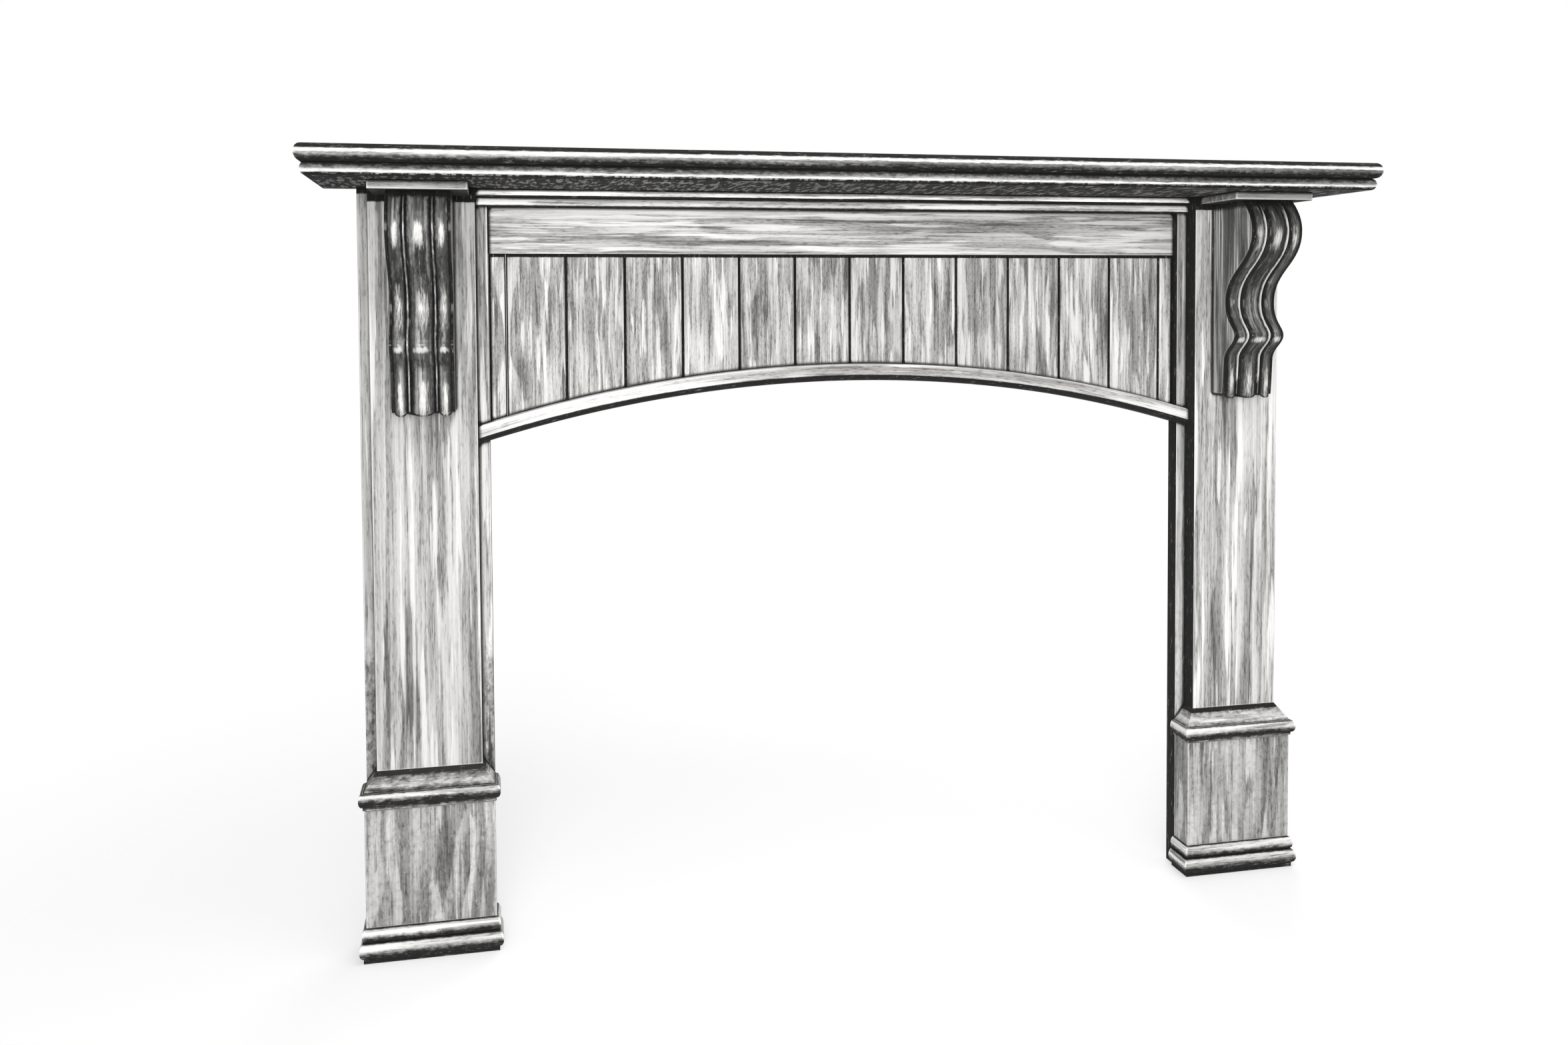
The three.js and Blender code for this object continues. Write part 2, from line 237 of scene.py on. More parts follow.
# The heart of the tree: how far behind a piece's middle it is, how far it strays from
# there as a share of the piece's size, and how far up the log a piece starts, in metres
BOARD_HEART = 45
SHELF_HEART = -20
PLINTH_HEART = 25
PLANK_HEART = 30
HEART_STRAY = 0.22
LOG_START = (3, 90)

# Fine and pace over 1 make the grain of a piece narrower and shorter
BOARD_FINE = 0.78
BOARD_PACE = 0.8
PLINTH_FINE = 0.62
PLINTH_PACE = 1.25
PLANK_PACE = 1.8

# A bracket's front is cut far to one side of the heart, and its depth counts only a little
QUARTER_SAWN = 260
DEPTH_SHARE = 0.12

# Growth rings: their spacing, how wide and long their wandering is and how far it goes, and
# the shares of a ring over which it darkens and then turns pale again
RING_SPACING = 17.0
RING_WANDER = (85, 800)
RING_WANDER_REACH = 46
RING_DARKENS = (0.15, 0.8)
RING_ENDS = (0.86, 1.0)
RING_SHARE = 0.3

# Figures of the oak: width and length in millimetres, the detail and the output of their
# noise, the two values of it between which they come in, and how much they darken the wood.
# Lime pales it, and takes the other output so that it isn't in step with the streaks.
FIGURES = {
    "streak": ((12, 700), 2, "Fac", (0.38, 0.62), 0.22),
    "fibre": ((2.4, 200), 2, "Fac", (0.3, 0.7), 0.2),
    "stroke": ((5, 150), 3, "Fac", (0.56, 0.63), 0.3),
    "lime": ((8, 210), 2, "Color", (0.55, 0.60), -0.42),
}
FIGURE_ROUGHNESS = 0.55
FINE_DETAIL = 3
NOISE_MIDDLE = (0.5, 0.5, 0.5)

# Blotches: their size, their share and the darkness that the wood starts from
BLOTCH = (48, 420)
BLOTCH_SHARE = 0.9
BLOTCH_START = -0.33

# Pores: real ones are finer, and these are as coarse as they need to show. They come in
# between two values of the noise, deeper in dark wood, and are filled by half.
PORE = (1.8, 13)
PORE_EDGE = (0.5, 0.66)
PORE_WOOD = (0.1, 0.7)
PORE_DEPTH = (0.15, 1.0)
PORE_FILLING = 0.5

# Uneven edges of painted shade and dirt and of painted highlights: their size, how far they
# stray and how soft they are. The painted shade under a face comes in patches of its own size.
SMUDGE = (6, 12)
SMUDGE_STRAY = 0.9
HIGHLIGHT_RAG = (2.8, 18)
HIGHLIGHT_STRAY = 1.6
RAGGED_EDGE = (0.12, 0.88)
RAGGED_ROUGHNESS = 0.7
SHADE_PATCH = (36, 7)
SHADE_PATCH_EDGE = (0.38, 0.56)

# How far a normal points down where painted shade covers all of a face and where it covers none
# of it
FACES_DOWN = (-0.62, -0.05)

# How far the painted shade in joints and corners and the pale of a worn arris with its painted
# highlight reach, and the openness at which each is full and gone
JOINT_REACH = 8.0
JOINT_OPENNESS = (0.62, 0.93)
ARRIS_REACH = 4.5
ARRIS_OPENNESS = (0.62, 0.92)
OPENNESS_SAMPLES = 8

# How much rougher dark wood and the painted shade and dirt are, how rough a coat is and how deep
# the grain
DARK_WOOD_DULLER = 0.15
SHADE_AND_DIRT_DULLER = 0.6
COAT_ROUGHNESS = 0.16
RELIEF_DEPTH = 0.2

# Studio, in metres: a floor that fades out between two distances, and white all round
FLOOR_COLOUR = "#FBFBFB"
FLOOR_ROUGHNESS = 0.9
FLOOR_RADIUS = 2.3
FLOOR_SEGMENTS = 96
FLOOR_FADE = (0.7, 2.0)
FLOOR_CLEARNESS = 0.45
FLOOR_DROP = 0.0004
WHITE = (1, 1, 1, 1)
AMBIENT = 0.4

# Soft lights: place, target, width and height, and power in watts
SOFTBOXES = {
    "front": ((-0.7, -3.2, 1.2), (0.1, 0, 0.75), (2.0, 1.8), 52),
    "overhead": ((0.3, -1.1, 3.2), (0, -0.5, 0), (3.4, 1.6), 60),
    "strip": ((-0.85, -2.7, 1.0), (0, 0, 0.9), (0.5, 1.0), 26),
    "behind": ((1.4, 3.0, 1.5), (0, 0, 0.7), (2.2, 1.8), 60),
}

# A range of values that eases in and out at both ends
SOFTLY = {"interpolation_type": "SMOOTHSTEP"}

chance = random.Random(11)


# Measures

def corners(node):
    """Lowest and highest corner of a node, as vectors."""
    low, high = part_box(node)
    return Vector(low), Vector(high)


def linear(colour):
    """An sRGB hex value as a linear colour."""
    parts = [int(colour[i:i + 2], 16) / 255 for i in (1, 3, 5)]
    return [c / 12.92 if c <= 0.04045 else ((c + 0.055) / 1.055) ** 2.4 for c in parts] + [1]


def level(stops, height):
    """The value at a height, on straight lines between (height, value) stops."""
    if height <= stops[0][0]:
        return stops[0][1]
    for (low, start), (high, end) in zip(stops, stops[1:]):
        if height <= high:
            return start + (end - start) * (height - low) / (high - low)
    return stops[-1][1]


# Meshes

def blank():
    """An empty mesh with the layers that the finishes read."""
    bm = bmesh.new()
    bm.loops.layers.float_vector.new("grain")
    for layer in ("shade_and_dirt_mark", "painted_highlight", "tone"):
        bm.loops.layers.float.new(layer)
    return bm


def mark(bm, layer, value):
    """Writes a value on each corner, worked out from its face's normal and its place."""
    marks = bm.loops.layers.float[layer]
    bm.normal_update()
    for face in bm.faces:
        for loop in face.loops:
            loop[marks] = value(face.normal, loop.vert.co)


def highlight_at(spots, height, crest=1.0):
    """How pale the painted highlight is at a height, on a crest from 0 to 1."""
    pale = 0.0
    for middle, reach, strength, sharpness in spots:
        off = min(1.0, abs(height - middle) / reach)
        pale = max(pale, strength * (1 - off * off) ** 2 * crest ** sharpness)
    return pale


def moulded(normal):
    """Whether a face is part of a moulding, and not its level top, bottom or back."""
    return max(normal.y, abs(normal.z)) < FLAT_FACE


def shade_by_height(bm, bottom, stops):
    """Marks the painted shade that a moulding gets at each height over its bottom."""
    mark(bm, "shade_and_dirt_mark", lambda normal, place:
         level(stops, (place.z - bottom) / MM) if moulded(normal) else 0)


def cut_across(bm, heights):
    """Cuts the faces of a mesh at some heights, so that a mark can change there."""
    for height in heights:
        bmesh.ops.bisect_plane(bm, geom=bm.verts[:] + bm.edges[:] + bm.faces[:],
                               plane_co=(0, 0, height), plane_no=(0, 0, 1))


def skin(bm, rings):
    """Closes rings of points into one solid."""
    rows = [[bm.verts.new(point) for point in ring] for ring in rings]
    size = len(rows[0])
    for lower, upper in zip(rows, rows[1:]):
        for i in range(size):
            j = (i + 1) % size
            bm.faces.new((lower[i], lower[j], upper[j], upper[i]))
    bm.faces.new(rows[0])
    bm.faces.new(rows[-1])
    bmesh.ops.remove_doubles(bm, verts=bm.verts[:], dist=TINY)
    bmesh.ops.dissolve_degenerate(bm, edges=bm.edges[:], dist=TINY)
    bmesh.ops.recalc_face_normals(bm, faces=bm.faces[:])
    for face in bm.faces:
        face.smooth = True


def round_over(bm, edges):
    """Rounds arrises over, as a light pass with a plane and paper does."""
    rounded = bmesh.ops.bevel(
        bm, geom=edges, offset=ARRIS * MM, segments=ARRIS_STEPS, profile=0.5, affect="EDGES")
    for face in rounded["faces"]:
        face.smooth = True


def board(low, high):
    """A sawn board with its arrises rounded over."""
    bm = blank()
    size = high - low
    place = Matrix.Translation((low + high) / 2) @ Matrix.Diagonal((*size, 1))
    bmesh.ops.create_cube(bm, size=1, matrix=place)
    round_over(bm, bm.edges[:])
    return bm


def bead(bottom, height, inner, outer):
    """Half an ellipse upwards, as (inset, height) in millimetres."""
    steps = []
    for i in range(BEAD_STEPS + 1):
        turn = math.pi * i / BEAD_STEPS
        steps.append((inner + (outer - inner) * math.sin(turn),
                      bottom + height / 2 * (1 - math.cos(turn))))
    return steps


def moulded_block(low, high, profile):
    """A block with one moulding round its front and both sides, mitred at the corners."""
    bm = blank()
    rings = []
    for inset, height in profile:
        left, right = low.x + inset * MM, high.x - inset * MM
        front, z = low.y + inset * MM, low.z + height * MM
        rings.append([Vector((left, front, z)), Vector((right, front, z)),
                      Vector((right, high.y, z)), Vector((left, high.y, z))])
    skin(bm, rings)
    return bm


# How the grain lies in a piece: (across, depth, along) from the heart of the tree

def heart_of(low, high, behind=BOARD_HEART):
    """A place for the heart of the tree, and how far up the log the piece starts."""
    size = high - low
    middle = (low + high) / 2
    stray = Vector([chance.uniform(-HEART_STRAY, HEART_STRAY) * s for s in size])
    return middle + stray + Vector((0, behind * MM, 0)), chance.uniform(*LOG_START)


def upright_grain(low, high, behind=BOARD_HEART, fine=1.0, pace=1.0):
    """Up a board, a plinth or a plank."""
    heart, start = heart_of(low, high, behind)
    return lambda normal, place: Vector((
        (place.x - heart.x) * fine, (place.y - heart.y) * fine, (place.z + start) * pace))


def level_grain(low, high, behind=BOARD_HEART):
    """From left to right along a shelf, a strip or the frieze board."""
    heart, start = heart_of(low, high, behind)
    return lambda normal, place: Vector((
        place.z - heart.z, place.y - heart.y, place.x + start))


def mitred_grain(low, high):
    """Along the front, and along the sides on the returns of a moulding."""
    heart, start = heart_of(low, high)

    def grain(normal, place):
        if abs(normal.x) > abs(normal.y):
            return Vector((place.z - heart.z, place.x - heart.x, place.y - start))
        return Vector((place.z - heart.z, place.y - heart.y, place.x + start))
    return grain


def carved_grain(low, high):
    """Up a bracket. On its front the rings lie square to it, so that they follow the S."""
    heart, start = heart_of(low, high)
    aside = QUARTER_SAWN * MM

    def grain(normal, place):
        share = 1 if abs(normal.x) > SIDE_FACE else DEPTH_SHARE
        return Vector((place.x - heart.x + aside, (place.y - heart.y) * share, place.z + start))
    return grain


def bent_grain(low, high):
    """Along the curve of the arch rib."""
    heart, start = heart_of(low, high)
    centre_z = high.z - ARCH_RADIUS * MM

    def grain(normal, place):
        spoke = Vector((place.x, place.z - centre_z))
        along = math.atan2(spoke.x, spoke.y) * ARCH_RADIUS * MM
        return Vector((spoke.length - ARCH_RADIUS * MM, place.y - heart.y, along + start))
    return grain


def dress(node, bm, grain, finish, tone=1.0):
    """Makes the mesh the finished piece of a node. Its tone is a number, or a function."""
    lie = bm.loops.layers.float_vector["grain"]
    bm.normal_update()
    for face in bm.faces:
        for loop in face.loops:
            loop[lie] = grain(face.normal, loop.vert.co)
    own = chance.uniform(*PIECE_TONE)
    tone_at = tone if callable(tone) else lambda normal, place: tone
    mark(bm, "tone", lambda normal, place: own * tone_at(normal, place))
    mesh = bpy.data.meshes.new(node + "_finished")
    bm.to_mesh(mesh)
    bm.free()
    mesh.set_sharp_from_angle(angle=SMOOTH_BELOW)
    mesh.materials.append(FINISHES[finish])
    piece = bpy.data.objects.new(node + "_finished", mesh)
    bpy.context.scene.collection.objects.link(piece)
    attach(piece, "root")
    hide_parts(node)


# Shelf

def shelf_board(node, nose, dirt_and_shade, highlights):
    """A shelf board: half an ellipse along its front and both ends."""
    low, high = corners(node)
    height = (high.z - low.z) / MM
    bm = moulded_block(low, high, bead(0, height, nose, 0))
    # Painted shade on the lower part of the nose and along its top edge.
    shade_by_height(bm, low.z, dirt_and_shade)
    # A painted highlight along the nose.
    mark(bm, "painted_highlight", lambda normal, place:
         highlight_at(highlights, (place.z - low.z) / MM) if moulded(normal) else 0)
    dress(node, bm, level_grain(low, high, SHELF_HEART), "oak_shelf")


# Legs

def base_moulding(node, dirt_and_shade, tone):
    """Foot fillet, large bead and small bead, from the floor up."""
    low, high = corners(node)
    proud = LARGE_BEAD_PROUD
    profile = [(proud - FOOT_PROUD, 0), (proud - FOOT_PROUD, FOOT_HEIGHT)]
    profile += bead(FOOT_HEIGHT, LARGE_BEAD, proud - QUIRK_PROUD, 0)
    profile += bead(FOOT_HEIGHT + LARGE_BEAD, SMALL_BEAD, proud, proud - SMALL_BEAD_PROUD)
    bm = moulded_block(low, high, profile)
    # Painted shade on the lower halves of the beads.
    shade_by_height(bm, low.z, dirt_and_shade)
    dress(node, bm, mitred_grain(low, high), "oak_mouldings", tone)


def cap_moulding(node, dirt_and_shade, tone):
    """Fillet, bead and bevel, from the plinth up."""
    low, high = corners(node)
    proud = CAP_BEAD_PROUD
    bevel_bottom = CAP_FILLET + CAP_BEAD
    profile = [(proud - CAP_FILLET_PROUD, 0), (proud - CAP_FILLET_PROUD, CAP_FILLET)]
    profile += bead(CAP_FILLET, CAP_BEAD, proud - CAP_FILLET_PROUD, 0)
    slope = PLINTH_PROUD / (CAP_BEVEL - CAP_QUIRK)
    for height in BEVEL_CUTS:
        profile.append((proud + slope * (height - CAP_QUIRK), bevel_bottom + height))
    bm = moulded_block(low, high, profile)
    # Painted shade on the lower halves of the bead and on the bevel.
    shade_by_height(bm, low.z, dirt_and_shade)
    dress(node, bm, mitred_grain(low, high), "oak_mouldings", tone)


def plinth(node, tone):
    """A plinth block of bolder timber, dirtier from knocks and floor polish."""
    low, high = corners(node)
    bm = board(low, high)
    mark(bm, "shade_and_dirt_mark", lambda normal, place: PLINTH_DIRT)
    grain = upright_grain(low, high, PLINTH_HEART, PLINTH_FINE, PLINTH_PACE)
    dress(node, bm, grain, "oak_boards", tone)


def lit_towards_opening(node, tones):
    """A stile's tone: painted lighter along its edge towards the opening, where the pilaster's
    shade falls, darker at its outer one.
    """
    low, high = corners(node)
    inner, outer = sorted((abs(low.x), abs(high.x)))
    pale, dark = tones
    return lambda normal, place: pale + (dark - pale) * (abs(place.x) - inner) / (outer - inner)


def upright_board(node, under, tone, foot=0.0):
    """An upright board, with painted shade on its narrow side towards the fire and close under a
    piece.

    Foot says how much darker its front gets over the cap of the plinth, from 0 to 1.
    """
    low, high = corners(node)
    over = corners(under)[0].z
    cap = corners("left_cap_moulding")[1].z
    bm = board(low, high)
    cut_across(bm, [over + rise * MM for rise, _ in UNDER_PLATE_SHADE])
    if foot:
        cut_across(bm, [cap + rise * MM for rise, _ in OVER_CAP_DARKENING])

    # Painted shade on the side towards the fire and under the piece above; the front is darker
    # over the cap.
    def dirt_and_shade(normal, place):
        side = SIDE_SHADE if normal.x * place.x < -TURNED_FACE else 0
        front = normal.y < -TURNED_FACE
        darker_over_cap = foot * level(OVER_CAP_DARKENING, (place.z - cap) / MM) if front else 0
        return max(side, darker_over_cap, level(UNDER_PLATE_SHADE, (place.z - over) / MM))
    mark(bm, "shade_and_dirt_mark", dirt_and_shade)
    grain = upright_grain(low, high, fine=BOARD_FINE, pace=BOARD_PACE)
    dress(node, bm, grain, "oak_boards", tone)


# Brackets

def quadratic(a, b, c):
    """Points from a towards c, bent towards b. The last one is left to the next curve."""
    points = []
    for i in range(CURVE_STEPS):
        t = i / CURVE_STEPS
        points.append(a * (1 - t) ** 2 + b * (2 * t * (1 - t)) + c * t ** 2)
    return points


def bend(a, d, shares):
    """Points from a down towards d, upright at both. The last one is left to the next curve."""
    drop = Vector((0, a.y - d.y))
    b = a - drop * shares[0]
    c = d + drop * shares[1]
    points = []
    for i in range(CURVE_STEPS):
        t = i / CURVE_STEPS
        points.append(a * (1 - t) ** 3 + b * (3 * t * (1 - t) ** 2)
                      + c * (3 * t ** 2 * (1 - t)) + d * t ** 3)
    return points


def bracket_front():
    """The S-shaped front from the lip down to the toe, upright where it swells and narrows."""
    line = quadratic(LIP, Vector((BULGE.x, (LIP.y + BULGE.y) / 2)), BULGE)
    line += bend(BULGE, WAIST, S_BEND)
    line += bend(WAIST, NOSE, NOSE_BEND)
    line += bend(NOSE, SHIN, SHIN_BEND)
    return line + [SHIN.lerp(TOE, i / CURVE_STEPS) for i in range(CURVE_STEPS + 1)]


def reed(left, width):
    """Half a round over a reed's width, as (across, rise), from its left edge to its right."""
    turns = [math.pi * i / REED_STEPS for i in range(REED_STEPS + 1)]
    return [(left + width / 2 * (1 - math.cos(t)), REED_RISE * math.sin(t)) for t in turns]


def reeded_section(width):
    """Three reeds with a fillet between them and one at each edge, as (across, rise)."""
    side = width / 2
    outer_left = -side + EDGE_FILLET
    outer_reed = side - EDGE_FILLET - REED_FILLET - MIDDLE_REED / 2
    fillet_left = outer_left + outer_reed
    half = [(-side, EDGE_FILLET_RISE), (outer_left, EDGE_FILLET_RISE)]
    half += reed(outer_left, outer_reed)
    half += [(fillet_left + FILLET_SLOPE, GROOVE_FILLET_RISE),
             (fillet_left + REED_FILLET - FILLET_SLOPE, GROOVE_FILLET_RISE)]
    return half + reed(-MIDDLE_REED / 2, MIDDLE_REED) + [(-x, rise) for x, rise in half[::-1]]


def scallop(rise):
    """How far the foot's scallop lifts a point of the section, at the toe itself."""
    return SCALLOP * (1 - rise / REED_RISE)


def before_scallop(height, rise):
    """How far up a bracket a point was before the scallop of its foot lifted it."""
    lift = scallop(rise)
    return min(height, (height - lift) / (1 - lift / SCALLOP_REACH))


def bracket_ring(low, high, section, out, up):
    """One ring of a bracket: its section across the front, and its two back corners."""
    middle = (low.x + high.x) / 2
    fade = max(0.0, 1 - up / SCALLOP_REACH)
    ring = []
    for across, rise in section:
        ring.append(Vector((middle + across * MM, high.y - (out - REED_RISE + rise) * MM,
                            low.z + (up + scallop(rise) * fade) * MM)))
    return ring + [Vector((high.x, high.y, ring[-1].z)), Vector((low.x, high.y, ring[0].z))]


def groove_shade(rise, reach):
    """Painted shade at a rise of the section: all of it between the reeds and none on their
    crests.
    """
    if rise == GROOVE_FILLET_RISE:
        return FILLET_SHADE
    return 1 - (rise / REED_RISE) ** reach


def across_bracket(x):
    """A place across a bracket, to a hundredth of a millimetre."""
    return round(x, 5)


def bracket(node, shade_reach, highlights, fillet_highlight):
    """A carved bracket: reeds that follow the S, each ending in a rounded foot."""
    low, high = corners(node)
    middle = (low.x + high.x) / 2
    section = reeded_section((high.x - low.x) / MM)
    bm = blank()
    skin(bm, [bracket_ring(low, high, section, out, up) for out, up in bracket_front()[::-1]])
    rises = {across_bracket(middle + across * MM): rise for across, rise in section}

    # Painted shade in the grooves, at the top under the plate and along the foot.
    def dirt_and_shade(normal, place):
        rise = rises[across_bracket(place.x)]
        edge = level(BRACKET_SHADE, before_scallop((place.z - low.z) / MM, rise))
        return max(edge, groove_shade(rise, shade_reach) if abs(normal.x) < FLAT_FACE else 0)

    # Painted highlights on the crests of the reeds and along the groove fillets.
    def crest(normal, place):
        rise = rises[across_bracket(place.x)]
        height = (place.z - low.z) / MM
        fillet = fillet_highlight * level(FILLET_HIGHLIGHT_SHARE, height) if rise == GROOVE_FILLET_RISE else 0
        return max(fillet, highlight_at(highlights, height, rise / REED_RISE))

    # Painted light: the flat sides paler than the carved front.
    def tone(normal, place):
        return BRACKET_SIDE_PAINTED_LIGHT if abs(normal.x) > SIDE_FACE else 1.0
    mark(bm, "shade_and_dirt_mark", dirt_and_shade)
    mark(bm, "painted_highlight", crest)
    dress(node, bm, carved_grain(low, high), "oak_carving", tone)


# Frieze

def level_board(node, tone, finish):
    """A plain board with level grain."""
    low, high = corners(node)
    dress(node, board(low, high), level_grain(low, high), finish, tone)


def strip(node, tone, dirt_and_shade):
    """A strip planted over both stiles, thicker between them."""
    low, high = corners(node)
    stile_face = corners("left_stile")[0].y
    inner = corners("right_stile")[0].x
    recess = corners("frieze_board")[0].y
    outline = [(low.x, low.y), (high.x, low.y), (high.x, stile_face), (inner, stile_face),
               (inner, recess), (-inner, recess), (-inner, stile_face), (low.x, stile_face)]
    heights = [low.z] + [low.z + rise * MM for rise, _ in dirt_and_shade] + [high.z]
    bm = blank()
    skin(bm, [[Vector((x, y, z)) for x, y in outline] for z in heights])
    for face in bm.faces:
        face.smooth = False
    front_edges = [e for e in bm.edges if all(v.co.y < low.y + TINY for v in e.verts)]
    round_over(bm, [e for e in front_edges if all(v.co.z < low.z + TINY for v in e.verts)
                    or all(v.co.z > high.z - TINY for v in e.verts)])
    # A line of painted shade along the bottom of the strip.
    shade_by_height(bm, low.z, dirt_and_shade)
    dress(node, bm, level_grain(low, high), "oak_mouldings", tone)


def arch_height(x, drop=0.0):
    """Height of the arch at x, drop millimetres in from the rib's upper edge, in metres."""
    radius = (ARCH_RADIUS - drop) * MM
    return ARCH_TOP - ARCH_RADIUS * MM + math.sqrt(radius * radius - x * x)


def plank_slices(low, high):
    """Where a plank is cut across its width, as (x, inset of its front in millimetres)."""
    edge = [(0, PLANK_CHAMFER), (PLANK_CHAMFER - PLANK_SOFTENING, PLANK_SOFTENING),
            (PLANK_CHAMFER, PLANK_LIP), (PLANK_CHAMFER + PLANK_SOFTENING, 0)]
    slices = [(low.x + across * MM, inset) for across, inset in edge]
    inner = slices[-1][0]
    reach = high.x - low.x - 2 * (inner - low.x)
    slices += [(inner + reach * i / PLANK_SLICES, 0) for i in range(1, PLANK_SLICES)]
    return slices + [(high.x - across * MM, inset) for across, inset in edge[::-1]]


def plank(node):
    """An upright plank, a soft V down each long edge and its foot shaped to the rib."""
    low, high = corners(node)
    rings = []
    for x, inset in plank_slices(low, high):
        foot = arch_height(x, -RIB_GAP)
        front = low.y + inset * MM
        back = high.y - (PLANK_BACK_ARRIS * MM if x in (low.x, high.x) else 0)
        ring = [Vector((x, back, foot)), Vector((x, back, high.z)), Vector((x, front, high.z))]
        for rise, _ in PLANK_TOP_SHADE[::-1]:
            ring.append(Vector((x, front, high.z + rise * MM)))
        rings.append(ring + [Vector((x, front, foot))])
    bm = blank()
    skin(bm, rings)

    # The V of each joint is stained dark, and a band at the top under the frieze board is painted
    # shade.
    def dirt_and_shade(normal, place):
        if normal.y > -TURNED_FACE:
            return 1.0 if TURNED_FACE < abs(normal.x) < V_FACE else 0.0
        joint = 1.0 if abs(normal.x) > V_FACE else 0.0
        return max(joint, level(PLANK_TOP_SHADE, (place.z - high.z) / MM))
    mark(bm, "shade_and_dirt_mark", dirt_and_shade)
    grain = upright_grain(low, high, PLANK_HEART, pace=PLANK_PACE)
    dress(node, bm, grain, "oak_boards", chance.uniform(*PLANK_TONE))


def rib_section(x, back):
    """The rib's section at x: its lower front edge rounded, its upper one eased.

    Its front has a point at each height where the painted shade on it changes.
    """
    top, bottom = arch_height(x), arch_height(x, RIB_HEIGHT)
    arris, ease = ARRIS * MM, RIB_EASE * MM
    points = [Vector((x, back, bottom)), Vector((x, back, top)),
              Vector((x, RIB_FRONT + arris, top)), Vector((x, RIB_FRONT + ease, top - ease)),
              Vector((x, RIB_FRONT, top - arris))]
    for height, _ in RIB_SHADE[:0:-1]:
        points.append(Vector((x, RIB_FRONT, bottom + height * MM)))
    for i in range(RIB_ROUND_STEPS + 1):
        turn = math.pi / 2 * i / RIB_ROUND_STEPS
        points.append(Vector((x, RIB_FRONT + RIB_ROUND * MM * (1 - math.cos(turn)),
                              bottom + RIB_ROUND * MM * (1 - math.sin(turn)))))
    return points


def arch_rib(node):
    """The curved rib: back to the wall between the stiles, lapping over their faces."""
    low, high = corners(node)
    stile = corners("right_stile")[0]
    rings = [rib_section(low.x, stile.y), rib_section(-stile.x, stile.y)]
    for i in range(RIB_SLICES + 1):
        rings.append(rib_section(stile.x * (2 * i / RIB_SLICES - 1), high.y))
    rings += [rib_section(stile.x, stile.y), rib_section(high.x, stile.y)]
    bm = blank()
    skin(bm, rings)
    # Painted shade on the rounded lower edge of the rib.
    mark(bm, "shade_and_dirt_mark", lambda normal, place: level(
        RIB_SHADE, (place.z - arch_height(place.x, RIB_HEIGHT)) / MM))
    dress(node, bm, bent_grain(low, high), "oak_mouldings", RIB_TONE)


# Finishes

def add(tree, kind, inputs=(), **settings):
    """Adds a node with its settings, and fills or links its inputs. Gives its outputs.

    The inputs are in the node's own order, or keyed by their names or numbers.
    """
    node = tree.nodes.new("ShaderNode" + kind)
    for name, value in settings.items():
        setattr(node, name, value)
    named = inputs.items() if isinstance(inputs, dict) else enumerate(inputs)
    for socket, value in named:
        if isinstance(value, bpy.types.NodeSocket):
            tree.links.new(value, node.inputs[socket])
        else:
            node.inputs[socket].default_value = value
    return node.outputs


def figure(tree, millimetres, size, detail=2, rough=FIGURE_ROUGHNESS):
    """Noise as wide and as long along the grain as its size says."""
    width, length = size
    place = add(tree, "VectorMath", (millimetres, (1 / width, 1 / width, 1 / length)),
                operation="MULTIPLY")[0]
    return add(tree, "TexNoise", {"Vector": place, "Scale": 1.0, "Detail": detail,
                                  "Roughness": rough})


def growth_rings(tree, millimetres):
    """The dark part of each growth ring, round a heart that wanders along the log."""
    wander = figure(tree, millimetres, RING_WANDER, FINE_DETAIL)["Color"]
    wander = add(tree, "VectorMath", (wander, NOISE_MIDDLE), operation="SUBTRACT")[0]
    reach = 2 * RING_WANDER_REACH
    place = add(tree, "VectorMath", (wander, (reach, reach, 0), millimetres),
                operation="MULTIPLY_ADD")[0]
    across = add(tree, "VectorMath", (place, (1, 1, 0)), operation="MULTIPLY")[0]
    radius = add(tree, "VectorMath", (across,), operation="LENGTH")["Value"]
    ring = add(tree, "Math", (radius, 1 / RING_SPACING), operation="MULTIPLY")[0]
    ring = add(tree, "Math", (ring,), operation="FRACT")[0]
    darkens = add(tree, "MapRange", (ring, *RING_DARKENS), **SOFTLY)[0]
    ends = add(tree, "MapRange", (ring, *RING_ENDS, 1.0, 0.0), **SOFTLY)[0]
    return add(tree, "Math", (darkens, ends), operation="MULTIPLY")[0]


def grain_of_oak(tree):
    """The grain's place in millimetres, and how dark and how porous the wood is, from 0 to 1."""
    place = add(tree, "Attribute", attribute_name="grain")["Vector"]
    millimetres = add(tree, "VectorMath", {0: place, "Scale": 1 / MM}, operation="SCALE")[0]
    blotch = figure(tree, millimetres, BLOTCH)["Fac"]
    dark = add(tree, "Math", (blotch, BLOTCH_SHARE, BLOTCH_START), operation="MULTIPLY_ADD")[0]
    rings = growth_rings(tree, millimetres)
    dark = add(tree, "Math", (rings, RING_SHARE, dark), operation="MULTIPLY_ADD")[0]
    for size, detail, output, edge, share in FIGURES.values():
        noise = figure(tree, millimetres, size, detail)[output]
        part = add(tree, "MapRange", (noise, *edge), **SOFTLY)[0]
        dark = add(tree, "Math", (part, share, dark), operation="MULTIPLY_ADD")[0]
    dark = add(tree, "Clamp", (dark,))[0]
    pore = figure(tree, millimetres, PORE, FINE_DETAIL)["Fac"]
    pore = add(tree, "MapRange", (pore, *PORE_EDGE), **SOFTLY)[0]
    depth = add(tree, "MapRange", (dark, *PORE_WOOD, *PORE_DEPTH), **SOFTLY)[0]
    pore = add(tree, "Math", (pore, depth), operation="MULTIPLY")[0]
    return millimetres, dark, pore


